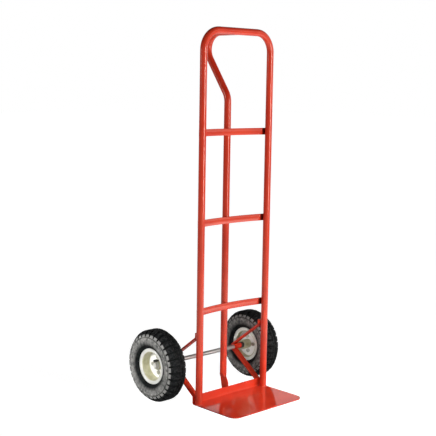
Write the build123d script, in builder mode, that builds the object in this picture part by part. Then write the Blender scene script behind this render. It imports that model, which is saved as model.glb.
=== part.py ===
from build123d import *
import math
import os

os.makedirs("parts", exist_ok=True)

# Sack truck with a looped back handle and two pneumatic wheels, in millimetres.
# X runs across the truck, +Y points back towards the wheels, +Z is up.
# The origin is on the floor, midway between the axes of the two uprights.

# Round tube of the frame and of the handle
tube_od = 25.4
tube_wall = 1.6
upright_spacing = 330.0
frame_height = 1338.0
corner_radius = 70.0

# Toe plate, bent up behind the uprights
plate_thickness = 4.0
plate_reach = 195.0
plate_corner_radius = 30.0
flange_height = 32.0
flange_bend_radius = 4.0
flange_corner_radius = 6.0

# Flat crossbars, bowed back between the uprights
crossbar_height = 25.0
crossbar_thickness = 5.0
crossbar_bow = 17.5
crossbar_end_lap = 0.5
lower_crossbar_level = 333.5
upper_crossbar_drop = 125.5

# Handle tube behind the crossbars, with a foot that is pressed flat
handle_loop_drop = 228.3
handle_lean = 35.3
handle_bend_radius = 60.0
handle_pinch_level = 80.0
handle_pinch_height = 20.0
handle_flare_height = 12.0
handle_foot_meet_level = 46.0
handle_foot_end_level = 9.0
handle_foot_width = 30.0
handle_cope_gap = 0.1

# Axle, its brackets and sleeves
axle_diameter = 16.0
axle_setback = 144.0
axle_end_margin = 5.0
bracket_width = 25.0
bracket_thickness = 5.0
bracket_inset = 5.0
bracket_bend_radius = 10.0
bracket_tab_height = 18.0
bracket_bend_level = 245.0
bracket_foot_level = 25.0
sleeve_od = 21.3
sleeve_length = 34.0
sleeve_clearance = 0.1

# Washers and cotter pins that keep the wheels on
washer_od = 32.0
washer_thickness = 2.5
washer_clearance = 0.2
cotter_strip = 1.5
cotter_strip_width = 2.6
cotter_split = 0.2
cotter_eye = 7.0
cotter_tail = 5.5
cotter_spread = 4.0
cotter_clearance = 0.1
wheel_end_play = 0.4

# Wheels: tyre with knobbly shoulders, and its inner tube
wheel_track = 480.0
tyre_od = 262.0
tyre_width = 82.0
tyre_tread = 12.0
crown_width = 36.0
shoulder_width = 69.0
shoulder_drop = 12.5
side_start_drop = 27.0
side_end_drop = 56.0
bead_width = 4.0
lug_count = 32
lug_groove_width = 7.0
lug_groove_depth = 5.0
inner_tube_wall = 2.0
inner_tube_gap = 0.3
tyre_fit = 0.2

# Wheels: two pressed rim halves, bolted together inboard of the tyre's middle; the outer one holds the hub
bead_diameter = 101.6
rim_width = 50.0
rim_inset = 9.0
rim_thickness = 2.0
rim_flange_od = 130.0
hub_od = 36.0
hub_end_out = 2.0
hub_fit = 0.05
bush_fit = 0.05
rim_bolt_count = 4
rim_bolt_flats = 13.0
rim_bolt_neck = 8.0
rim_bolt_neck_clearance = 0.1
rim_bolt_head_height = 5.3
rim_bolt_nut_height = 6.5
rim_bolt_margin = 3.0

# Wheels: valve
valve_angle = 130.0
valve_hole_out = 4.0
valve_radius = 31.0
valve_diameter = 8.0
valve_elbow = 4.0
valve_stem_end_out = 17.0
valve_cap_diameter = 10.5
valve_cap_length = 14.0
valve_cap_flutes = 12
valve_hole_clearance = 0.5
valve_root_gap = 0.1

# Wheels: plastic bush that lines the hub and runs on the axle
bush_od = 24.0
bush_reach = 13.0
bush_axle_clearance = 0.08

# Lines that several pieces share
tube_radius = tube_od / 2
tube_bore = tube_od - 2 * tube_wall
half_spacing = upright_spacing / 2
top_axis = frame_height - tube_radius
handle_bend_level = top_axis - handle_loop_drop
plate_width = upright_spacing + tube_od
flange_back = tube_radius + flange_bend_radius + plate_thickness
crossbar_front = tube_radius + crossbar_bow
handle_axis = crossbar_front + crossbar_thickness + tube_radius
axle_radius = axle_diameter / 2
axle_level = tyre_od / 2
wheel_mid = wheel_track / 2
wheel_axis = Axis((0, axle_setback, axle_level), (1, 0, 0))
wheel_plane = Plane((0, axle_setback, axle_level), x_dir=(1, 0, 0), z_dir=(0, -1, 0))

# Places along the axle, measured from the middle of the truck
bracket_inner_edge = half_spacing - bracket_inset - bracket_width / 2
sleeve_end = bracket_inner_edge + sleeve_length
bush_start = sleeve_end + wheel_end_play
hub_start = bush_start + bush_reach
hub_end = wheel_mid + hub_end_out
outer_washer_start = hub_end + wheel_end_play
outer_washer_end = outer_washer_start + washer_thickness
cotter_hole = 2 * math.hypot(cotter_strip + cotter_split / 2, cotter_strip_width / 2) + 2 * cotter_clearance
cotter_place = outer_washer_end + cotter_hole / 2
axle_end = cotter_place + axle_end_margin


def write(builder, name):
    """Labels a finished piece and writes it under its own name."""
    builder.part.label = name
    export_step(builder.part, f"parts/{name}.step")


def write_pair(builder, name):
    """Writes a right-hand piece, and its mirror image as the left-hand one."""
    write(builder, f"right_{name}")
    with BuildPart() as left:
        mirror(builder.part, about=Plane.YZ)
    write(left, f"left_{name}")


def across(x):
    """Plane square to the axle at x, centred on the axle, with its normal along +X."""
    return Plane((x, axle_setback, axle_level), x_dir=(0, 1, 0), z_dir=(1, 0, 0))


def ring(start, end, outer_radius, inner_radius):
    """Adds a plain ring round the axle, from start to end along it, to the open part."""
    with BuildSketch(across(start)) as section:
        Circle(outer_radius)
        Circle(inner_radius, mode=Mode.SUBTRACT)
    extrude(section.sketch, amount=end - start)


def bore_straight_runs(line):
    """Hollows the straight runs of a bent tube in the open part."""
    for run in line.edges().filter_by(GeomType.LINE):
        with BuildSketch(Plane(run @ 0, z_dir=run % 0)) as section:
            Circle(tube_bore / 2)
        extrude(section.sketch, amount=run.length, mode=Mode.SUBTRACT)


# Main frame tube: the two uprights and the top bar in one bent tube
with BuildPart() as main_frame_tube:
    with BuildLine(Plane.XZ) as frame_line:
        FilletPolyline(
            (-half_spacing, plate_thickness),
            (-half_spacing, top_axis),
            (half_spacing, top_axis),
            (half_spacing, plate_thickness),
            radius=corner_radius,
        )
    with BuildSketch(Plane.XY.offset(plate_thickness)):
        with Locations((-half_spacing, 0)):
            Circle(tube_radius)
    sweep()
    bore_straight_runs(frame_line)
write(main_frame_tube, "main_frame_tube")

# Handle tube: straight behind the crossbars, leaning back, then looping forward to the top bar.
# Its lower end is pinched to a flat foot, edge on to the back of the flange.
foot_thickness = 2 * tube_wall
foot_level = handle_pinch_level - handle_pinch_height
loop_corner = handle_axis + (top_axis - handle_bend_level) * math.tan(math.radians(handle_lean))
with BuildPart() as p_handle_tube:
    with BuildSketch(Plane.XZ.offset(-handle_axis)):
        Polygon(
            (-tube_radius, handle_pinch_level),
            (-foot_thickness / 2, foot_level),
            (foot_thickness / 2, foot_level),
            (tube_radius, handle_pinch_level),
            align=None,
        )
    extrude(amount=tube_radius, both=True)
    with Locations((0, handle_axis, foot_level)):
        Cylinder(
            tube_radius,
            handle_pinch_height,
            align=(Align.CENTER, Align.CENTER, Align.MIN),
            mode=Mode.INTERSECT,
        )
    with BuildSketch(Plane.YZ.offset(-foot_thickness / 2)):
        Polygon(
            (handle_axis + tube_radius, foot_level),
            (handle_axis, foot_level + handle_flare_height),
            (handle_axis - tube_radius, foot_level + handle_flare_height),
            (flange_back, handle_foot_meet_level),
            (flange_back, handle_foot_end_level),
            (flange_back + handle_foot_width, handle_foot_end_level),
            align=None,
        )
    extrude(amount=foot_thickness)
    with BuildLine(Plane.YZ) as handle_line:
        FilletPolyline(
            (handle_axis, handle_pinch_level),
            (handle_axis, handle_bend_level),
            (loop_corner, top_axis),
            (0, top_axis),
            radius=handle_bend_radius,
        )
    with BuildSketch(Plane.XY.offset(handle_pinch_level)):
        with Locations((0, handle_axis)):
            Circle(tube_radius)
    sweep()
    bore_straight_runs(handle_line)
    with Locations(Location((0, 0, top_axis), (0, 90, 0))):
        Cylinder(tube_radius + handle_cope_gap, upright_spacing, mode=Mode.SUBTRACT)
write(p_handle_tube, "p_handle_tube")

# Crossbars: each one touches both uprights in front and the handle tube behind
crossbar_curve = (half_spacing**2 + crossbar_front**2 - tube_radius**2) / (2 * crossbar_bow)
crossbar_centre = crossbar_front - crossbar_curve
crossbar_half_angle = math.degrees(math.asin((half_spacing + crossbar_end_lap) / crossbar_curve))
crossbar_pitch = (handle_bend_level - upper_crossbar_drop - lower_crossbar_level) / 2
for place, name in enumerate(("lower_crossbar", "middle_crossbar", "upper_crossbar")):
    level = lower_crossbar_level + place * crossbar_pitch
    with BuildPart() as crossbar:
        with BuildSketch(Plane.XY.offset(level - crossbar_height / 2)):
            with BuildLine():
                CenterArc(
                    (0, crossbar_centre),
                    crossbar_curve + crossbar_thickness / 2,
                    90 - crossbar_half_angle,
                    2 * crossbar_half_angle,
                )
            trace(line_width=crossbar_thickness)
        extrude(amount=crossbar_height)
    write(crossbar, name)

# Toe plate: bent sheet, as wide as the frame, rounded at its front corners
with BuildPart() as toe_plate:
    with BuildSketch(Plane.YZ.offset(-plate_width / 2)):
        with BuildLine():
            FilletPolyline(
                (-plate_reach, plate_thickness / 2),
                (flange_back - plate_thickness / 2, plate_thickness / 2),
                (flange_back - plate_thickness / 2, flange_height),
                radius=flange_bend_radius + plate_thickness / 2,
            )
        trace(line_width=plate_thickness)
    extrude(amount=plate_width)
    fillet(toe_plate.edges().filter_by(Axis.Z).group_by(Axis.Y)[0], plate_corner_radius)
    fillet(toe_plate.edges().filter_by(Axis.Y).group_by(Axis.Z)[-1], flange_corner_radius)
write(toe_plate, "toe_plate")

# Axle brackets: flat bar from the upright's back, round behind the axle sleeve, forward to the flange
wrap_radius = sleeve_od / 2 + bracket_thickness / 2
tab_middle = tube_radius + bracket_thickness / 2


def wrap_angle(y, z, turn):
    """Angle round the axle at which a straight leg from (y, z) runs onto the bracket's wrap."""
    away = math.hypot(y - axle_setback, z - axle_level)
    towards = math.degrees(math.atan2(z - axle_level, y - axle_setback))
    return towards + turn * math.degrees(math.acos(wrap_radius / away))


def wrap_point(angle):
    """Point of the bracket's middle line at an angle round the axle."""
    turned = math.radians(angle)
    return Vector(axle_setback + wrap_radius * math.cos(turned), axle_level + wrap_radius * math.sin(turned))


upper_angle = wrap_angle(tab_middle, bracket_bend_level, -1)
lower_angle = wrap_angle(flange_back, bracket_foot_level, 1)
bracket_foot = Vector(flange_back, bracket_foot_level)
foot_overrun = (bracket_foot - wrap_point(lower_angle)).normalized() * bracket_thickness
with BuildPart() as axle_bracket:
    with BuildSketch(Plane.YZ.offset(bracket_inner_edge)):
        with BuildLine():
            FilletPolyline(
                (tab_middle, bracket_bend_level + bracket_tab_height),
                (tab_middle, bracket_bend_level),
                wrap_point(upper_angle),
                radius=bracket_bend_radius,
            )
            CenterArc((axle_setback, axle_level), wrap_radius, upper_angle, lower_angle - upper_angle)
            Line(wrap_point(lower_angle), bracket_foot + foot_overrun)
        trace(line_width=bracket_thickness)
    extrude(amount=bracket_width)
    with Locations((bracket_inner_edge, flange_back, 0)):
        Box(
            bracket_width,
            flange_back,
            2 * bracket_foot_level,
            align=(Align.MIN, Align.MAX, Align.MIN),
            mode=Mode.SUBTRACT,
        )
write_pair(axle_bracket, "axle_bracket")

# Axle sleeves: painted tubes in the bends of the brackets, which the axle passes through
with BuildPart() as axle_sleeves:
    ring(bracket_inner_edge, sleeve_end, sleeve_od / 2, axle_radius + sleeve_clearance)
    mirror(about=Plane.YZ)
write(axle_sleeves, "axle_sleeves")

# Axle: plated bar with a cross hole for each cotter pin
with BuildPart() as axle:
    with BuildSketch(across(-axle_end)):
        Circle(axle_radius)
    extrude(amount=2 * axle_end)
    with Locations((-cotter_place, axle_setback, axle_level), (cotter_place, axle_setback, axle_level)):
        Cylinder(cotter_hole / 2, axle_diameter, mode=Mode.SUBTRACT)
write(axle, "axle")

# Washers outside the wheels
with BuildPart() as outer_washers:
    ring(outer_washer_start, outer_washer_end, washer_od / 2, axle_radius + washer_clearance)
    mirror(about=Plane.YZ)
write(outer_washers, "outer_washers")

# Cotter pins: a strip folded to an eye, its two legs through the axle and spread below it
leg_middle = (cotter_split + cotter_strip) / 2
eye_level = axle_radius + cotter_eye / 2
with BuildPart() as cotter_pins:
    with BuildSketch(across(cotter_place - cotter_strip_width / 2)):
        with BuildLine():
            Polyline(
                (-leg_middle - cotter_spread, -axle_radius - cotter_tail),
                (-leg_middle, -axle_radius - cotter_strip),
                (-leg_middle, axle_radius),
                (-cotter_eye / 2, eye_level),
                (-cotter_eye / 2, eye_level + cotter_eye / 2),
                (0, eye_level + cotter_eye),
                (cotter_eye / 2, eye_level + cotter_eye / 2),
                (cotter_eye / 2, eye_level),
                (leg_middle, axle_radius),
                (leg_middle, -axle_radius - cotter_strip),
                (leg_middle + cotter_spread, -axle_radius - cotter_tail),
            )
        trace(line_width=cotter_strip)
    extrude(amount=cotter_strip_width)
    mirror(about=Plane.YZ)
write(cotter_pins, "cotter_pins")

# Lines that the pieces of a wheel share
tyre_radius = tyre_od / 2
hub_radius = hub_od / 2
hub_bore_radius = bush_od / 2 + bush_fit
bead_radius = bead_diameter / 2
bead_base = bead_radius + tyre_fit
heel = wheel_mid + rim_width / 2 - tyre_fit
tread_inside = tyre_radius - tyre_tread
bolt_corner = rim_bolt_flats / 2 / math.cos(math.radians(30))
bolt_circle = hub_radius + rim_bolt_margin + bolt_corner
bolt_start_angle = valve_angle + 180 / rim_bolt_count
across_wheel = Plane.YZ.offset(wheel_mid)
rim_split = wheel_mid - rim_inset

# Tyre: hollow carcass, its shoulders cut to lugs by grooves that are staggered from side to side
with BuildPart() as near_groove:
    with BuildSketch(wheel_plane):
        Polygon(
            (wheel_mid + crown_width / 2 - lug_groove_depth, tyre_radius),
            (wheel_mid + tyre_width / 2, tyre_radius - shoulder_drop - 2 * lug_groove_depth),
            (wheel_mid + tyre_width / 2, tyre_radius + lug_groove_depth),
            (wheel_mid + crown_width / 2 - lug_groove_depth, tyre_radius + lug_groove_depth),
            align=None,
        )
    extrude(amount=lug_groove_width / 2, both=True)
with BuildPart() as far_groove:
    mirror(near_groove.part, about=across_wheel)

lug_pitch = 360 / lug_count
grooves = [near_groove.part.rotate(wheel_axis, place * lug_pitch) for place in range(lug_count)]
grooves += [far_groove.part.rotate(wheel_axis, (place + 0.5) * lug_pitch) for place in range(lug_count)]
with BuildPart() as tyre:
    with BuildSketch(wheel_plane):
        Polygon(
            (wheel_mid, tyre_radius),
            (wheel_mid + crown_width / 2, tyre_radius),
            (wheel_mid + shoulder_width / 2, tyre_radius - shoulder_drop),
            (wheel_mid + tyre_width / 2, tyre_radius - side_start_drop),
            (wheel_mid + tyre_width / 2, tyre_radius - side_end_drop),
            (heel, rim_flange_od / 2 + tyre_fit),
            (heel, bead_base),
            (heel - bead_width, bead_base),
            (heel - bead_width, tread_inside),
            (wheel_mid, tread_inside),
            align=None,
        )
        mirror(about=across_wheel)
    revolve(axis=wheel_axis)
    add(grooves, mode=Mode.SUBTRACT)
write_pair(tyre, "tyre")

# Inner tube: hollow ring that fills the tyre down to the rim
with BuildPart() as inner_tube:
    for inset, mode in ((inner_tube_gap, Mode.ADD), (inner_tube_gap + inner_tube_wall, Mode.SUBTRACT)):
        half_width = heel - bead_width - inset - wheel_mid
        with BuildSketch(across(wheel_mid)):
            Circle(tread_inside - inset)
            Circle(bead_base + inset, mode=Mode.SUBTRACT)
        extrude(amount=half_width, both=True, mode=mode)
write_pair(inner_tube, "inner_tube")

# Rim halves: pressed sheet, disc to disc; the outer one is the deeper and carries the hub
sheet_middle = rim_thickness / 2
neck_hole = rim_bolt_neck + 2 * rim_bolt_neck_clearance


def rim_half(side):
    """Adds a rim half with its bolt holes to the open part: outer for side 1, inner for side -1."""
    disc = rim_split + side * sheet_middle
    flange = wheel_mid + side * (rim_width / 2 + sheet_middle)
    with BuildSketch(wheel_plane) as section:
        with BuildLine():
            Polyline(
                (disc, hub_radius + hub_fit),
                (disc, bead_radius - sheet_middle),
                (flange, bead_radius - sheet_middle),
                (flange, rim_flange_od / 2),
            )
        trace(line_width=rim_thickness)
    revolve(section.sketch, axis=wheel_axis)
    with BuildSketch(across(disc)) as holes:
        with PolarLocations(bolt_circle, rim_bolt_count, start_angle=bolt_start_angle):
            Rectangle(neck_hole, neck_hole)
    extrude(holes.sketch, amount=rim_thickness, both=True, mode=Mode.SUBTRACT)


valve_turn = math.radians(valve_angle)
outwards = Vector(0, math.cos(valve_turn), math.sin(valve_turn))
wheel_centre = Vector(wheel_mid, axle_setback, axle_level)
valve_centre = wheel_centre + Vector(valve_hole_out, 0, 0)
with BuildPart() as outer_rim:
    rim_half(1)
    with Locations(Plane(valve_centre + outwards * bead_radius, z_dir=outwards)):
        Cylinder(valve_diameter / 2 + valve_hole_clearance, 4 * rim_thickness, mode=Mode.SUBTRACT)
    ring(hub_start, hub_end, hub_radius, hub_bore_radius)
    ring(rim_split, rim_split + rim_thickness, hub_radius + hub_fit, hub_bore_radius)
write_pair(outer_rim, "outer_rim")

with BuildPart() as inner_rim:
    rim_half(-1)
write_pair(inner_rim, "inner_rim")

# Bolts that hold the rim halves together: square neck, with the nut screwed tight on the inner side
with BuildPart() as rim_bolts:
    with BuildSketch(across(rim_split - rim_thickness)):
        with PolarLocations(bolt_circle, rim_bolt_count, start_angle=bolt_start_angle):
            Rectangle(rim_bolt_neck, rim_bolt_neck)
    extrude(amount=2 * rim_thickness)
    for start, height in (
        (rim_split + rim_thickness, rim_bolt_head_height),
        (rim_split - rim_thickness - rim_bolt_nut_height, rim_bolt_nut_height),
    ):
        with BuildSketch(across(start)):
            with PolarLocations(bolt_circle, rim_bolt_count, start_angle=bolt_start_angle):
                RegularPolygon(rim_bolt_flats / 2, 6, major_radius=False)
        extrude(amount=height)
write_pair(rim_bolts, "rim_bolts")

# Valve: rubber stem from the inner tube through the rim, turned outwards, with a fluted cap
valve_plane = Plane(wheel_centre, x_dir=(1, 0, 0), z_dir=Vector(1, 0, 0).cross(outwards))
valve_root = math.sqrt((bead_base + inner_tube_gap - valve_root_gap) ** 2 - (valve_diameter / 2) ** 2)
with BuildPart() as valve_stem:
    with BuildLine(valve_plane):
        Polyline(
            (valve_hole_out, valve_root),
            (valve_hole_out, valve_radius + valve_elbow),
            (valve_hole_out + valve_elbow, valve_radius),
            (valve_stem_end_out, valve_radius),
        )
    with BuildSketch(Plane(valve_centre + outwards * valve_root, z_dir=outwards)):
        Circle(valve_diameter / 2)
    sweep(transition=Transition.RIGHT)
write_pair(valve_stem, "valve_stem")

valve_tip = wheel_centre + outwards * valve_radius + Vector(valve_stem_end_out, 0, 0)
with BuildPart() as valve_cap:
    with BuildSketch(Plane(valve_tip, z_dir=(1, 0, 0))):
        RegularPolygon(valve_cap_diameter / 2, valve_cap_flutes)
    extrude(amount=valve_cap_length)
write_pair(valve_cap, "valve_cap")

# Hub bush: plastic lining that runs on the axle and reaches out of the hub to the sleeve
with BuildPart() as hub_bush:
    ring(bush_start, hub_end, bush_od / 2, axle_radius + bush_axle_clearance)
write_pair(hub_bush, "hub_bush")
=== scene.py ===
import math

import bmesh
import bpy
from mathutils import Matrix, Vector


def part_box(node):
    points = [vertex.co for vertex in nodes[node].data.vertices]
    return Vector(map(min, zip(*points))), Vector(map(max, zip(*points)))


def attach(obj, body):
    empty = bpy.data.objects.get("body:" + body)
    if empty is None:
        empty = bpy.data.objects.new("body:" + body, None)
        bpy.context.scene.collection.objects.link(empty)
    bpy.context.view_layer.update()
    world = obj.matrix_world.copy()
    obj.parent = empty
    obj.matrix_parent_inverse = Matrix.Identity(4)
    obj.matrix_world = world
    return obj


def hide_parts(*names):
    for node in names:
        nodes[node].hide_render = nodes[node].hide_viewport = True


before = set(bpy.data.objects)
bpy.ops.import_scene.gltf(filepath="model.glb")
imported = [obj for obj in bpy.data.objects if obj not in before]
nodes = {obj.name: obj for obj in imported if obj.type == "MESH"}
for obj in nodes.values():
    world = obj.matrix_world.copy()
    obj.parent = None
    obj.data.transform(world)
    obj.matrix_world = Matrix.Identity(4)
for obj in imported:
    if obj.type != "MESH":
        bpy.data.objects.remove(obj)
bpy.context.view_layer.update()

# Looks of a red sack truck with knobbly pneumatic wheels. All lengths are in metres, in the frame of the CAD part.

MM = 0.001

# Places read from the CAD nodes
tube_low, tube_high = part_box("main_frame_tube")
tube_radius = (tube_high.y - tube_low.y) / 2
upright_x = tube_high.x - tube_radius
top_level = tube_high.z - tube_radius
plate_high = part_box("toe_plate")[1]
plate_top = tube_low.z
sleeve_low, sleeve_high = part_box("axle_sleeves")
sleeve_radius = (sleeve_high.z - sleeve_low.z) / 2
bracket_low, bracket_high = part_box("right_axle_bracket")
tyre_low, tyre_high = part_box("right_tyre")
tyre_radius = (tyre_high.z - tyre_low.z) / 2
tyre_half_width = (tyre_high.x - tyre_low.x) / 2
wheel_centre = (tyre_low + tyre_high) / 2
outer_rim_low, outer_rim_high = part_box("right_outer_rim")
flange_radius = (outer_rim_high.z - outer_rim_low.z) / 2
flange_out = outer_rim_high.x - wheel_centre.x
hub_start = outer_rim_low.x - wheel_centre.x

# Wheel details that the boxes don't give
rim_sheet = 2.0 * MM
rim_bend = 4.0 * MM
rim_lip = 2.5 * MM
rim_steps = 96
bead_radius = 50.8 * MM
rim_inset = 9.0 * MM
hub_radius = 18.0 * MM
hub_bore = 12.05 * MM
hub_end = 2.0 * MM
hub_edge = 0.8 * MM
tyre_fit = 0.2 * MM
crown_half = 18.0 * MM
shoulder_half = 34.5 * MM
shoulder_drop = 12.5 * MM
side_start_drop = 27.0 * MM
side_end_drop = 56.0 * MM
tread_depth = 12.0 * MM
bead_width = 4.0 * MM
lug_count = 32
groove_half = 3.5 * MM
groove_wall = 0.7 * MM
groove_depth = 5.0 * MM
rib_half = 4.6 * MM
rib_groove = 3.0 * MM
rib_groove_depth = 2.4 * MM
rib_sway = 2.2 * MM
groove_floor_drop = shoulder_drop + 2 * groove_depth
groove_start = crown_half - groove_depth
lug_pitch = 2 * math.pi / lug_count
lug_foot = tyre_radius - groove_floor_drop

# Edges of sheet and bar, and weld beads
edge_round = 0.7 * MM
seam_gap = 0.01 * MM
weld_radius = 2.4 * MM
weld_ripple = 2.2 * MM
weld_sides = 8
bead_stop = 2.0 * MM
handle_seat_half = 4.2 * MM
handle_foot_half = 1.6 * MM
handle_foot_low = 11.0 * MM
bracket_tab = 17.0 * MM
bracket_tab_half = 6.5 * MM
bracket_foot = 25.0 * MM
bracket_foot_half = 3.6 * MM


# ---- mesh helpers

def piece(name, points, faces, body, slot, material, sharp=40):
    """Makes a closed mesh piece in the row frame that rides on a CAD body."""
    mesh = bpy.data.meshes.new(name)
    mesh.from_pydata([tuple(p) for p in points], [], faces)
    work = bmesh.new()
    work.from_mesh(mesh)
    bmesh.ops.recalc_face_normals(work, faces=work.faces)
    work.to_mesh(mesh)
    work.free()
    for polygon in mesh.polygons:
        polygon.use_smooth = True
    mesh.set_sharp_from_angle(angle=math.radians(sharp))
    made = bpy.data.objects.new(name, mesh)
    bpy.context.scene.collection.objects.link(made)
    mesh.materials.append(material)
    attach(made, body)
    return made


def rounded(points, radii, steps=5, closed=False):
    """A line of (x, y) points with each corner rounded to its own radius."""
    line = []
    count = len(points)
    for k, point in enumerate(points):
        corner = Vector(point)
        if radii[k] == 0 or (not closed and k in (0, count - 1)):
            line.append(corner)
            continue
        before = (Vector(points[k - 1]) - corner).normalized()
        after = (Vector(points[(k + 1) % count]) - corner).normalized()
        half = before.angle(after) / 2
        back = radii[k] / math.tan(half)
        start, end = corner + before * back, corner + after * back
        for s in range(steps + 1):
            t = s / steps
            line.append(start * (1 - t) ** 2 + corner * 2 * t * (1 - t) + end * t ** 2)
    return line


def sheet_section(line, thickness):
    """Closed outline of a sheet of even thickness along a line of (x, y) points, with round edges."""
    sides = ([], [])
    for k, point in enumerate(line):
        along = (line[min(k + 1, len(line) - 1)] - line[max(k - 1, 0)]).normalized()
        across = Vector((-along.y, along.x)) * thickness / 2
        sides[0].append(point + across)
        sides[1].append(point - across)
    tip = (line[-1] - line[-2]).normalized() * thickness / 2
    root = (line[0] - line[1]).normalized() * thickness / 2
    return sides[0] + [line[-1] + tip] + sides[1][::-1] + [line[0] + root]


def turned(section, angles, side):
    """Points and faces of a ring about the axle. section(angle) gives closed (out, radius) points."""
    points, faces = [], []
    for angle in angles:
        profile = section(angle)
        for out, radius in profile:
            points.append((
                side * (wheel_centre.x + out),
                wheel_centre.y + radius * math.cos(angle),
                wheel_centre.z + radius * math.sin(angle),
            ))
    rows = len(profile)
    for step in range(len(angles)):
        here, there = step * rows, (step + 1) % len(angles) * rows
        for k in range(rows):
            after = (k + 1) % rows
            faces.append((here + k, here + after, there + after, there + k))
    return points, faces


def even_angles(steps):
    return [2 * math.pi * step / steps for step in range(steps)]


def joined(*shapes):
    """One list of points and faces from several."""
    points, faces = [], []
    for some_points, some_faces in shapes:
        start = len(points)
        points += some_points
        faces += [tuple(start + k for k in face) for face in some_faces]
    return points, faces


# ---- material helpers

class Nodes:
    """Short calls for the nodes of a material or a world."""

    def __init__(self, tree):
        self.tree = tree

    def node(self, kind, **settings):
        made = self.tree.nodes.new(kind)
        for setting, value in settings.items():
            setattr(made, setting, value)
        return made

    def link(self, source, target):
        self.tree.links.new(source, target)

    def math(self, operation, one, *others):
        """A calculation with sockets and numbers."""
        made = self.node("ShaderNodeMath", operation=operation)
        for socket, value in zip(made.inputs, (one, *others)):
            if isinstance(value, (int, float)):
                socket.default_value = value
            else:
                self.link(value, socket)
        return made.outputs["Value"]

    def times(self, one, other):
        return self.math("MULTIPLY", one, other)

    def plus(self, one, other):
        return self.math("ADD", one, other)

    def spread(self, value, low, high, to_low=0.0, to_high=1.0, curve="LINEAR"):
        """Maps a value from low..high to another range."""
        made = self.node("ShaderNodeMapRange", clamp=True, interpolation_type=curve)
        made.inputs["From Min"].default_value = low
        made.inputs["From Max"].default_value = high
        made.inputs["To Min"].default_value = to_low
        made.inputs["To Max"].default_value = to_high
        self.link(value, made.inputs["Value"])
        return made.outputs["Result"]

    def fade(self, value, low, high):
        """1 up to low, falling to 0 at high."""
        return self.spread(value, low, high, 1.0, 0.0)

    def band(self, value, rise, fall):
        """1 between two soft edges, each (low, high), and 0 outside them."""
        return self.times(self.spread(value, *rise), self.fade(value, *fall))

    def seen(self):
        """1 where the camera looks straight at the surface, and 0 for the light that it gives to others."""
        return self.node("ShaderNodeLightPath").outputs["Is Camera Ray"]


class Look(Nodes):
    """A node material on the principled shader, in the row frame's coordinates."""

    def __init__(self, name, **sockets):
        self.material = bpy.data.materials.new(name)
        self.material.use_nodes = True
        super().__init__(self.material.node_tree)
        self.shader = self.tree.nodes["Principled BSDF"]
        self.place = self.node("ShaderNodeTexCoord").outputs["Object"]
        for socket, value in sockets.items():
            self.shader.inputs[socket.replace("_", " ")].default_value = value

    def noise(self, scale, detail=3.0, stretch=(1, 1, 1)):
        """Noise of that scale per metre, stretched along the axes."""
        mapping = self.node("ShaderNodeMapping")
        mapping.inputs["Scale"].default_value = stretch
        self.link(self.place, mapping.inputs["Vector"])
        made = self.node("ShaderNodeTexNoise")
        made.inputs["Scale"].default_value = scale
        made.inputs["Detail"].default_value = detail
        self.link(mapping.outputs["Vector"], made.inputs["Vector"])
        return made.outputs["Fac"]

    def round_axle(self):
        """Distance from the axle and angle round it."""
        shift = self.node("ShaderNodeVectorMath", operation="SUBTRACT")
        shift.inputs[1].default_value = wheel_centre
        self.link(self.place, shift.inputs[0])
        parts = self.node("ShaderNodeSeparateXYZ")
        self.link(shift.outputs["Vector"], parts.inputs["Vector"])
        along, up = parts.outputs["Y"], parts.outputs["Z"]
        radius = self.math("SQRT", self.math("MULTIPLY_ADD", along, along, self.math("MULTIPLY", up, up)))
        return radius, self.math("ARCTAN2", up, along)

    def axes(self):
        """X, Y and Z of the place, by name."""
        parts = self.node("ShaderNodeSeparateXYZ")
        self.link(self.place, parts.inputs["Vector"])
        return parts.outputs

    def out(self):
        """Distance outwards from the middle plane of the nearer wheel."""
        return self.math("SUBTRACT", self.math("ABSOLUTE", self.axes()["X"]), wheel_centre.x)

    def away(self, place):
        """Distance from a place."""
        measure = self.node("ShaderNodeVectorMath", operation="DISTANCE")
        measure.inputs[1].default_value = place
        self.link(self.place, measure.inputs[0])
        return measure.outputs["Value"]

    def ramp(self, value, *stops):
        """Colour along a value, from (position, (r, g, b)) stops."""
        made = self.node("ShaderNodeValToRGB")
        elements = made.color_ramp.elements
        while len(elements) < len(stops):
            elements.new(0.5)
        for element, (position, colour) in zip(elements, stops):
            element.position = position
            element.color = (*colour, 1)
        self.link(value, made.inputs["Fac"])
        return made.outputs["Color"]

    def blend(self, share, one, other):
        """Mixes two colours, each a socket or (r, g, b)."""
        made = self.node("ShaderNodeMix", data_type="RGBA")
        self.link(share, made.inputs[0])
        # The node has sockets of the same name for each kind of value: 6 and 7 take colours, and output 2 gives one.
        for socket, colour in ((made.inputs[6], one), (made.inputs[7], other)):
            if isinstance(colour, tuple):
                socket.default_value = (*colour, 1)
            else:
                self.link(colour, socket)
        return made.outputs[2]

    def bump(self, height, strength, distance):
        made = self.node("ShaderNodeBump")
        made.inputs["Strength"].default_value = strength
        made.inputs["Distance"].default_value = distance
        self.link(height, made.inputs["Height"])
        self.link(made.outputs["Normal"], self.shader.inputs["Normal"])

    def colour(self, socket):
        self.link(socket, self.shader.inputs["Base Color"])

    def rough(self, socket):
        self.link(socket, self.shader.inputs["Roughness"])


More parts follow.
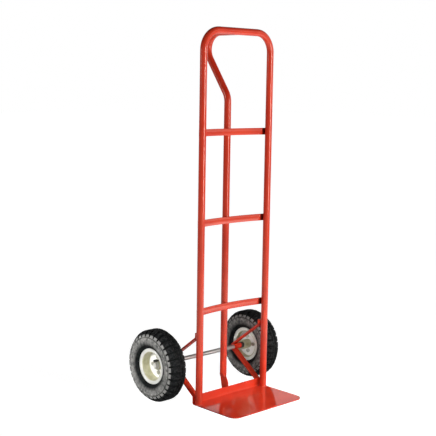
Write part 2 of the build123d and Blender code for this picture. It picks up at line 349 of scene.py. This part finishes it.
def red_paint(name, stretch, shade, gloss, smooth, rough, corner=None):
    """Glossy enamel with a faint orange peel and fine rubbed streaks.

    Where a corner (x, y) is given, painted shade darkens the paint beyond that x and in front of that y, on both
    sides, where the upright shades the bar's end.
    """
    deep = tuple(shade * part for part in (0.56, 0.030, 0.011))
    clear = tuple(shade * part for part in (0.65, 0.042, 0.015))
    rubbed = (0.70, 0.08, 0.04)
    painted_shade_colour = (0.07, 0.006, 0.004)
    warm = (1.0, 0.88, 0.74, 1.0)
    look = Look(name, Coat_Weight=0.1, Coat_Roughness=0.08, Specular_IOR_Level=gloss, Specular_Tint=warm)
    tone = look.ramp(look.noise(9, 4), (0.35, deep), (0.65, clear))
    streak = look.spread(look.noise(60, 5, stretch), 0.60, 0.72)
    paint = look.blend(look.times(streak, look.noise(14)), tone, rubbed)
    # Painted shade, mottled by noise, in the corner where each bar's end meets an upright
    if corner:
        axes = look.axes()
        x, y = corner
        inside = look.times(
            look.spread(look.math("ABSOLUTE", axes["X"]), x - 3 * MM, x + 1 * MM),
            look.fade(axes["Y"], y, y + 1 * MM),
        )
        corner_shade = look.times(inside, look.spread(look.noise(90, 4), 0.2, 0.6, 0.75, 1.0))
        paint = look.blend(corner_shade, paint, painted_shade_colour)
    look.colour(paint)
    peel = look.spread(look.noise(35, 4), 0.3, 0.7, smooth, rough)
    look.rough(look.plus(peel, look.spread(streak, 0, 1, 0, 0.10)))
    look.bump(look.noise(420, 2), 0.05, 0.4 * MM)
    return look.material


def zinc(name, light, dark, stretch):
    """Bright zinc plate, drawn along the piece, with a slight bloom."""
    look = Look(name, Metallic=1.0)
    grain = look.noise(120, 4, stretch)
    bloom = look.noise(28, 5)
    look.colour(look.blend(look.spread(bloom, 0.35, 0.7), light, dark))
    look.rough(look.spread(grain, 0.3, 0.7, 0.28, 0.46))
    look.bump(grain, 0.12, 0.2 * MM)
    return look.material


def rim_plate(name, worn, clean):
    """Zinc on pressed steel, worn to clean on the flange; painted light whitens the disc, and painted shade and
    reflection turn the barrel and hub olive.
    """
    look = Look(name, Metallic=0.15)
    bloom = look.noise(45, 5)
    pale = look.ramp(bloom, (0.3, worn), (0.7, clean))
    # Painted light: the disc is whiter than the flange, for the light that reaches it
    lit_disc = look.ramp(bloom, (0.3, (0.90, 0.895, 0.85)), (0.7, (0.96, 0.957, 0.93)))
    # Painted shade and reflection: the olive tone of the barrel and the hub
    olive = look.ramp(bloom, (0.3, (0.34, 0.325, 0.195)), (0.7, (0.50, 0.48, 0.32)))
    radius = look.round_axle()[0]
    from_disc = look.math("ABSOLUTE", look.plus(look.out(), rim_inset))
    deep = look.spread(from_disc, rim_sheet, rim_sheet + rim_bend)
    barrel_start = (bead_radius - 7 * MM, bead_radius - 3 * MM)
    barrel_end = (bead_radius + 1 * MM, bead_radius + 3 * MM)
    barrel = look.band(radius, barrel_start, barrel_end)
    hub = look.fade(radius, hub_radius, hub_radius + 2 * MM)
    olive_shade_share = look.times(deep, look.plus(barrel, hub))
    look.colour(look.blend(olive_shade_share, look.blend(deep, lit_disc, pale), olive))
    look.rough(look.spread(look.noise(160, 4), 0.3, 0.7, 0.28, 0.46))
    look.bump(look.noise(300, 3), 0.06, 0.3 * MM)
    return look.material


def tyre_rubber():
    """Black tread; black grooves with painted shade; dusty sidewall with a line of painted shade at the lugs' feet;
    lug ends pale from dust and wear with a painted highlight; painted shade next to the rim.
    """
    look = Look("tyre_rubber", Specular_IOR_Level=0.08)
    radius, turn = look.round_axle()
    out = look.out()
    stagger = look.times(look.math("LESS_THAN", out, 0.0), 0.5)
    phase = look.math("SUBTRACT", look.math("DIVIDE", turn, lug_pitch), stagger)
    off_groove = look.math("ABSOLUTE", look.math("WRAP", phase, 0.5, -0.5))
    from_groove = look.times(off_groove, lug_pitch * tyre_radius)
    on_lug = look.spread(from_groove, groove_half - 0.3 * MM, groove_half + 0.9 * MM)
    lug_zone = look.spread(radius, lug_foot - 1 * MM, lug_foot + 2 * MM)
    crown = look.spread(radius, tyre_radius - 16 * MM, tyre_radius - 13 * MM)
    # Painted shade: black in the grooves between the lugs
    groove_shade = look.times(lug_zone, look.math("SUBTRACT", 1.0, on_lug))
    # Painted shade: a dark ring on the sidewall next to the rim
    rim_shade = look.fade(radius, flange_radius + 11 * MM, flange_radius + 25 * MM)
    patch_start = (lug_foot - 12 * MM, lug_foot - 10 * MM)
    patch_end = (lug_foot - 6 * MM, lug_foot - 4 * MM)
    patch = look.times(look.band(radius, patch_start, patch_end), look.fade(from_groove, 3 * MM, 5 * MM))
    cloud = look.noise(80, 6)
    grey = look.ramp(cloud, (0.32, (0.075, 0.077, 0.076)), (0.68, (0.285, 0.28, 0.265)))
    # Pale lug ends: dust and wear with a painted highlight on top; patch adds pale marks below them
    pale = look.ramp(cloud, (0.30, (0.18, 0.18, 0.17)), (0.70, (0.40, 0.395, 0.38)))
    black = look.ramp(cloud, (0.35, (0.003, 0.0035, 0.004)), (0.70, (0.012, 0.013, 0.013)))
    tread = look.ramp(look.noise(150, 4), (0.38, (0.005, 0.0055, 0.006)), (0.68, (0.032, 0.033, 0.033)))
    # Painted shade: a dark line just below the lugs' feet
    lug_foot_shade = look.band(radius, (lug_foot - 5 * MM, lug_foot - 3 * MM), (lug_foot - 2 * MM, lug_foot))
    side = look.blend(look.times(lug_foot_shade, 0.6), grey, black)
    side = look.blend(look.plus(lug_zone, patch), side, pale)
    for share, dark in ((crown, tread), (groove_shade, black), (rim_shade, black)):
        side = look.blend(share, side, dark)
    look.colour(side)
    look.rough(look.spread(look.noise(90, 4), 0.3, 0.7, 0.55, 0.80))
    look.bump(look.noise(700, 3), 0.25, 0.4 * MM)
    return look.material


def soft_black(name, smooth, rough, grain):
    """Black rubber or plastic with a fine moulded grain."""
    look = Look(name, IOR=1.45)
    deep, worn = (0.008, 0.008, 0.009), (0.026, 0.026, 0.027)
    look.colour(look.ramp(look.noise(60, 4), (0.3, deep), (0.7, worn)))
    look.rough(look.spread(look.noise(150, 3), 0.3, 0.7, smooth, rough))
    look.bump(look.noise(grain, 2), 0.2, 0.3 * MM)
    return look.material


streaks_up = (1, 1, 0.06)
streaks_across = (0.08, 1, 1)
# Corner where the painted shade on the crossbars' front faces starts
bar_corner = (upright_x - 15 * MM, tube_radius + 3.6 * MM)
tube_paint = red_paint("tube_paint", streaks_up, shade=1.2, gloss=0.52, smooth=0.10, rough=0.17)
# Painted shade: a darker copy of the frame's red enamel for the handle tube
shaded_handle_paint = red_paint("shaded_handle_paint", streaks_up, shade=1.05, gloss=0.45, smooth=0.10, rough=0.17)
sheet_paint = red_paint("sheet_paint", streaks_across, shade=1.2, gloss=0.9, smooth=0.04, rough=0.08)
bar_paint = red_paint("bar_paint", streaks_across, shade=1.2, gloss=0.8, smooth=0.09, rough=0.15, corner=bar_corner)
# Painted shade: a darker copy of the frame's red enamel for the brackets and sleeves, which sit low by the wheels
shaded_bracket_paint = red_paint("shaded_bracket_paint", (1, 0.1, 0.1), shade=1.08, gloss=0.42, smooth=0.10, rough=0.17)
axle_zinc = zinc("axle_zinc", light=(0.90, 0.89, 0.86), dark=(0.72, 0.71, 0.67), stretch=(0.05, 1, 1))
fastener_zinc = zinc("fastener_zinc", light=(0.62, 0.61, 0.55), dark=(0.40, 0.39, 0.34), stretch=(1, 1, 1))
# Painted light and shade: two copies of the rim zinc that differ in brightness, darker on the outer halves whose
# flanges stand in strong light, lighter on the inner halves whose faces stand in shade
shaded_outer_rim_look = rim_plate("rim_plate", worn=(0.56, 0.557, 0.52), clean=(0.66, 0.657, 0.625))
lit_inner_rim_look = rim_plate("lit_inner_rim_plate", worn=(0.76, 0.78, 0.70), clean=(0.92, 0.94, 0.88))
tyre_look = tyre_rubber()
rubber_look = soft_black("valve_rubber", smooth=0.45, rough=0.65, grain=500)
plastic_look = soft_black("bush_plastic", smooth=0.32, rough=0.5, grain=900)


def dress(material, *names):
    """Gives CAD nodes their material."""
    for name in names:
        mesh = nodes[name].data
        mesh.materials.clear()
        mesh.materials.append(material)


def soften(*names):
    """Rounds the sharp edges of CAD nodes, as real sheet and bar have them, once their split seams are closed."""
    for name in names:
        nodes[name].modifiers.new("seams", "WELD").merge_threshold = seam_gap
        bevel = nodes[name].modifiers.new("edge", "BEVEL")
        bevel.width = edge_round
        bevel.segments = 2
        bevel.limit_method = "ANGLE"
        bevel.angle_limit = math.radians(50)
        bevel.harden_normals = True


bar_levels = ("lower", "middle", "upper")
crossbars = [f"{level}_crossbar" for level in bar_levels]
brackets = [f"{side}_axle_bracket" for side in ("left", "right")]
dress(tube_paint, "main_frame_tube")
dress(shaded_handle_paint, "p_handle_tube")
dress(sheet_paint, "toe_plate")
dress(bar_paint, *crossbars)
dress(shaded_bracket_paint, *brackets, "axle_sleeves")
dress(axle_zinc, "axle")
dress(fastener_zinc, "outer_washers", "cotter_pins")
soften(*crossbars, "toe_plate", *brackets)

# ---- wheels


def groove_share(angle, shift):
    """How deep in a groove an angle lies: 1 on its floor, 0 on the lugs."""
    away = abs((angle / lug_pitch - shift + 0.5) % 1 - 0.5) * lug_pitch * tyre_radius
    return min(max((groove_half - away) / groove_wall, 0), 1)


def tyre_half_line():
    """Half of the outside, from the crown's middle to the bead, as (out, radius) points."""
    heel = flange_out - rim_sheet - tyre_fit
    corners = [
        (groove_start, tyre_radius),
        (crown_half, tyre_radius),
        (shoulder_half, tyre_radius - shoulder_drop),
        (tyre_half_width, tyre_radius - side_start_drop),
        (tyre_half_width, tyre_radius - side_end_drop),
        (heel, flange_radius + tyre_fit),
        (heel, bead_radius + tyre_fit),
    ]
    radii = (0, 5 * MM, 8 * MM, 14 * MM, 24 * MM, 1 * MM, 0)
    ribs = [
        (0, tyre_radius),
        (rib_half, tyre_radius),
        (rib_half + groove_wall, tyre_radius - rib_groove_depth),
        (rib_half + rib_groove, tyre_radius - rib_groove_depth),
        (rib_half + rib_groove + groove_wall, tyre_radius),
    ]
    return [Vector(p) for p in ribs] + rounded(corners, radii, steps=6)


half_line = tyre_half_line()


def tyre_section(angle):
    """Closed outline of the tyre at an angle round the axle, with its grooves."""
    sway = rib_sway * (abs(angle / lug_pitch % 1 - 0.5) * 4 - 1)
    halves = []
    for hand in (1, -1):
        share = groove_share(angle, 0 if hand > 0 else 0.5)
        line = []
        for out, radius in half_line:
            fall = (out - groove_start) / (tyre_half_width - groove_start)
            floor = tyre_radius - max(fall, 0) * groove_floor_drop
            if radius > floor:
                radius += share * (floor - radius)
            shifted = hand * out + sway * max(0, 1 - out / groove_start)
            line.append((shifted, radius))
        halves.append(line)
    inner = half_line[-1].x - bead_width
    inside = [
        (-inner, bead_radius + tyre_fit),
        (-inner, tyre_radius - tread_depth),
        (inner, tyre_radius - tread_depth),
        (inner, bead_radius + tyre_fit),
    ]
    return halves[0][::-1] + halves[1][1:] + inside


def tyre_angles():
    """Angles round the tyre, closest where the grooves' walls stand."""
    edge = groove_half / tyre_radius
    floor = (groove_half - groove_wall) / tyre_radius
    steps = (-edge, -floor, 0, floor, edge, lug_pitch / 4)
    return [k * lug_pitch / 2 + step for k in range(2 * lug_count) for step in steps]


def rim_section(hand):
    """Closed outline of one pressed rim half."""
    middle = rim_sheet / 2
    disc = hand * middle - rim_inset
    flange = hand * (flange_out - middle)
    line = rounded(
        [
            (disc, hub_radius),
            (disc, bead_radius - middle),
            (flange, bead_radius - middle),
            (flange, flange_radius - rim_lip),
            (flange + hand * rim_lip, flange_radius - middle),
        ],
        (0, rim_bend, rim_bend, rim_lip, 0),
    )
    return [tuple(p) for p in sheet_section(line, rim_sheet)]


def hub_section():
    """Closed outline of the hub tube, with broken edges."""
    corners = [
        (hub_start, hub_bore),
        (hub_end, hub_bore),
        (hub_end, hub_radius),
        (hub_start, hub_radius),
    ]
    return [tuple(p) for p in rounded(corners, (hub_edge,) * 4, steps=2, closed=True)]


for side, hand in (("left", -1), ("right", 1)):
    body = f"{side}_wheel"
    ring = turned(tyre_section, tyre_angles(), hand)
    tyre = piece(f"{side}_knobbly_tyre", *ring, body, "tyre_rubber", tyre_look)
    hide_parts(f"{side}_tyre")
    outer = joined(
        turned(lambda angle: rim_section(1), even_angles(rim_steps), hand),
        turned(lambda angle: hub_section(), even_angles(rim_steps), hand),
    )
    outer_rim = piece(f"{side}_outer_rim_pressing", *outer, body, "rim_plate", shaded_outer_rim_look)
    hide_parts(f"{side}_outer_rim")
    inner = turned(lambda angle: rim_section(-1), even_angles(rim_steps), hand)
    inner_rim = piece(f"{side}_inner_rim_pressing", *inner, body, "rim_plate", lit_inner_rim_look)
    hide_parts(f"{side}_inner_rim")
    dress(fastener_zinc, f"{side}_rim_bolts")
    dress(rubber_look, f"{side}_valve_stem", f"{side}_inner_tube")
    dress(plastic_look, f"{side}_valve_cap", f"{side}_hub_bush")


# ---- welds

def bead(path, closed=False):
    """Points and faces of a rippled bead of weld along a path, thinner at its ends."""
    ripple_depth, end_share, end_growth = 0.16, 0.45, 0.2
    path = [Vector(p) for p in path]
    ends = path + path[:1] if closed else path
    line = [ends[0]]
    for start, end in zip(ends, ends[1:]):
        parts = max(1, round((end - start).length / (weld_ripple / 4)))
        line += [start.lerp(end, k / parts) for k in range(1, parts + 1)]
    if closed:
        line.pop()
    count, sides = len(line), weld_sides
    points, faces = [], []
    for k, centre in enumerate(line):
        before = line[k - 1] if closed or k else centre
        after = line[(k + 1) % count] if closed or k < count - 1 else centre
        along = (after - before).normalized()
        first = along.orthogonal().normalized() if k == 0 else (first - along * first.dot(along)).normalized()
        second = along.cross(first)
        ripple = 1 - ripple_depth + ripple_depth * abs(math.cos(math.pi * k / 4))
        taper = 1 if closed else min(1, end_share + end_growth * min(k, count - 1 - k))
        for s in range(sides):
            turn = 2 * math.pi * s / sides
            spoke = first * math.cos(turn) + second * math.sin(turn)
            points.append(centre + spoke * weld_radius * ripple * taper)
    for k in range(count if closed else count - 1):
        here, there = k * sides, (k + 1) % count * sides
        for s in range(sides):
            after = (s + 1) % sides
            faces.append((here + s, here + after, there + after, there + s))
    if not closed:
        faces.append(tuple(range(sides)))
        faces.append(tuple(range((count - 1) * sides, count * sides)))
    return points, faces


def welds(name, *beads):
    """The beads of one joint, painted over."""
    piece(name, *joined(*beads), "frame", "red_paint", tube_paint, sharp=80)


def circle(centre, first, second, start=0, end=360, steps=32):
    """Points on an arc about a centre, in the plane of two vectors as long as the radius."""
    turns = [math.radians(start + (end - start) * k / steps) for k in range(steps + 1)]
    return [centre + first * math.cos(t) + second * math.sin(t) for t in turns]


def upright_bead(x, y, low, high):
    return bead([(x, y, low), (x, y, high)])


for level in bar_levels:
    low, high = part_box(f"{level}_crossbar")
    span = low.z + bead_stop, high.z - bead_stop
    bar_end, bar_front, bar_back = high.x - 0.5 * MM, low.y + 1.5 * MM, high.y + 0.6 * MM
    welds(
        f"{level}_crossbar_welds",
        *(upright_bead(hand * bar_end, bar_front, *span) for hand in (-1, 1)),
        *(upright_bead(hand * handle_seat_half, bar_back, *span) for hand in (-1, 1)),
    )

feet = [Vector((hand * upright_x, 0, plate_top)) for hand in (-1, 1)]
across_tube, along_tube = Vector((tube_radius, 0, 0)), Vector((0, tube_radius, 0))
welds("upright_foot_welds", *(bead(circle(foot, across_tube, along_tube)[:-1], closed=True) for foot in feet))


def saddle(hand):
    """Line where one side of the handle tube meets the top bar."""
    start, sweep, steps = 40, 100, 24
    turns = [math.radians(start + sweep * k / steps) for k in range(steps + 1)]
    return [
        (hand * tube_radius * math.sin(t), tube_radius * math.sin(t), top_level + tube_radius * math.cos(t))
        for t in turns
    ]


handle_span = handle_foot_low, plate_high.z - bead_stop
handle_side, flange_back = handle_foot_half + 0.5 * MM, plate_high.y + 0.5 * MM
welds(
    "handle_welds",
    *(bead(saddle(hand)) for hand in (-1, 1)),
    *(upright_bead(hand * handle_side, flange_back, *handle_span) for hand in (-1, 1)),
)

for side, hand in (("left", -1), ("right", 1)):
    tab_sides = hand * upright_x - bracket_tab_half, hand * upright_x + bracket_tab_half
    tab_span = bracket_high.z - bracket_tab, bracket_high.z - 1.5 * MM
    foot_edges = bracket_foot - bracket_foot_half, bracket_foot + bracket_foot_half
    foot_span = bracket_low.x + bead_stop, bracket_high.x - bead_stop
    upright_back, flange_back = tube_radius - 0.9 * MM, plate_high.y + 0.4 * MM
    sleeve_axis = Vector((hand * bracket_high.x, wheel_centre.y, wheel_centre.z))
    wrap = sleeve_radius + 0.6 * MM
    welds(
        f"{side}_bracket_welds",
        *(upright_bead(x, upright_back, *tab_span) for x in tab_sides),
        *(bead([(hand * x, flange_back, level) for x in foot_span]) for level in foot_edges),
        bead(circle(sleeve_axis, Vector((0, wrap, 0)), Vector((0, 0, wrap)), start=-50, end=50)),
    )

# ---- studio

def studio_floor(size, patch):
    """A pale floor, white where it is looked at.

    It gives less light close to the truck and far away, and more at a patch.
    """
    mesh = bpy.data.meshes.new("floor")
    corners = ((-1, -1), (1, -1), (1, 1), (-1, 1))
    mesh.from_pydata([(x * size, y * size, 0) for x, y in corners], [], [(0, 1, 2, 3)])
    floor = bpy.data.objects.new("floor", mesh)
    bpy.context.scene.collection.objects.link(floor)
    look = Look("studio_floor", Roughness=0.8, Emission_Color=(1, 1, 1, 1))
    away = look.away((0, 0, 0))
    room = look.spread(away, 1.5, 4.0, 0.95, 0.40)
    shade = look.spread(away, 0.25, 0.80, 0.05, 1.0)
    far = look.spread(away, 4.0, 12.0, 1.0, 0.4)
    extra = look.spread(look.away(patch), 0.4, 1.1, 0.9, 0.0)
    given = look.plus(look.times(look.times(room, shade), far), extra)
    white = look.times(look.seen(), 0.95)
    look.link(look.math("MAXIMUM", given, white), look.shader.inputs["Emission Strength"])
    look.material.cycles.emission_sampling = "NONE"
    look.colour(look.ramp(look.noise(0.6, 2), (0.3, (0.33, 0.33, 0.33)), (0.7, (0.36, 0.36, 0.355))))
    mesh.materials.append(look.material)


studio_floor(size=30.0, patch=(1.05, -1.05, 0))


def studio_world(dim, walls, ceiling):
    """A dim room with brighter walls, each (direction, edge, middle, strength), and white where it is looked at."""
    world = bpy.data.worlds.new("studio")
    world.use_nodes = True
    room = Nodes(world.node_tree)
    direction = room.node("ShaderNodeTexCoord").outputs["Generated"]
    level = dim
    for towards, edge, middle, strength in walls:
        facing = room.node("ShaderNodeVectorMath", operation="DOT_PRODUCT")
        facing.inputs[1].default_value = towards
        room.link(direction, facing.inputs[0])
        wall = room.spread(facing.outputs["Value"], edge, middle, dim, strength, curve="SMOOTHSTEP")
        level = room.math("MAXIMUM", level, wall)
    height = room.node("ShaderNodeSeparateXYZ")
    room.link(direction, height.inputs["Vector"])
    eye_level, overhead = 0.05, 0.6
    darker = room.spread(height.outputs["Z"], eye_level, overhead, 1.0, ceiling, curve="SMOOTHSTEP")
    given = room.times(level, darker)
    background = room.tree.nodes["Background"]
    background.inputs["Color"].default_value = (1, 1, 1, 1)
    seen = room.seen()
    white_or_given = room.math("MULTIPLY_ADD", given, room.math("SUBTRACT", 1.0, seen), seen)
    room.link(white_or_given, background.inputs["Strength"])
    bpy.context.scene.world = world


backdrop = ((0.69, 0.72, 0), 0.80, 0.93, 1.0)
right_wall = ((0.86, -0.51, 0), 0.55, 0.90, 1.1)
studio_world(dim=0.30, walls=(backdrop, right_wall), ceiling=0.15)


def softbox(name, place, aim, size, power, spread=180):
    """A soft rectangular studio light. A narrow spread, in degrees, keeps it on one piece."""
    data = bpy.data.lights.new(name, "AREA")
    data.shape = "RECTANGLE"
    data.size, data.size_y = size
    data.energy = power
    data.spread = math.radians(spread)
    lamp = bpy.data.objects.new(name, data)
    lamp.location = place
    lamp.rotation_euler = (Vector(aim) - Vector(place)).to_track_quat("-Z", "Y").to_euler()
    bpy.context.scene.collection.objects.link(lamp)


softbox("key", (0.5, -3.1, 0.95), aim=(0, 0, 0.9), size=(0.5, 1.4), power=47)
softbox("left_fill", (-2.4, 1.0, 1.4), aim=(0, 0, 0.95), size=(1.0, 0.7), power=0.28, spread=26)
softbox("left_wheel_light", (-2.2, -0.5, 1.2), aim=(-0.29, 0.165, 0.125), size=(0.2, 0.2), power=0.28, spread=9.5)
softbox("right_wheel_light", (-2.3, -2.35, 0.8), aim=(0.2, 0.15, 0.14), size=(0.15, 0.15), power=0.06, spread=5)
softbox("foot_light", (-2.0, -1.4, 1.2), aim=(0, 0.035, 0.065), size=(0.08, 0.08), power=0.011, spread=2.6)
softbox("plate_light", (0.15, -1.0, 1.6), aim=(0.05, -0.16, 0), size=(0.4, 0.4), power=0.54, spread=22)

# ---- camera at the photograph's viewing angle

camera_place = Vector((-2.46137, -2.48361, 1.13453))
camera_azimuth = math.radians(-43.736)
camera_drop = math.radians(7.695)
camera_roll = math.radians(0.927)
photo_pixels = 436
focal_pixels = 978.126
sensor = 36.0

ahead = Vector((
    -math.sin(camera_azimuth) * math.cos(camera_drop),
    math.cos(camera_azimuth) * math.cos(camera_drop),
    -math.sin(camera_drop),
))
level_right = Vector((math.cos(camera_azimuth), math.sin(camera_azimuth), 0))
level_up = level_right.cross(ahead)
right = level_right * math.cos(camera_roll) + level_up * math.sin(camera_roll)
up = level_up * math.cos(camera_roll) - level_right * math.sin(camera_roll)
camera_data = bpy.data.cameras.new("camera")
camera_data.sensor_width = sensor
camera_data.lens = focal_pixels * sensor / photo_pixels
camera = bpy.data.objects.new("camera", camera_data)
camera.matrix_world = Matrix.Translation(camera_place) @ Matrix((right, up, -ahead)).transposed().to_4x4()
bpy.context.scene.collection.objects.link(camera)
bpy.context.scene.camera = camera
bpy.context.scene.view_settings.view_transform = "Standard"
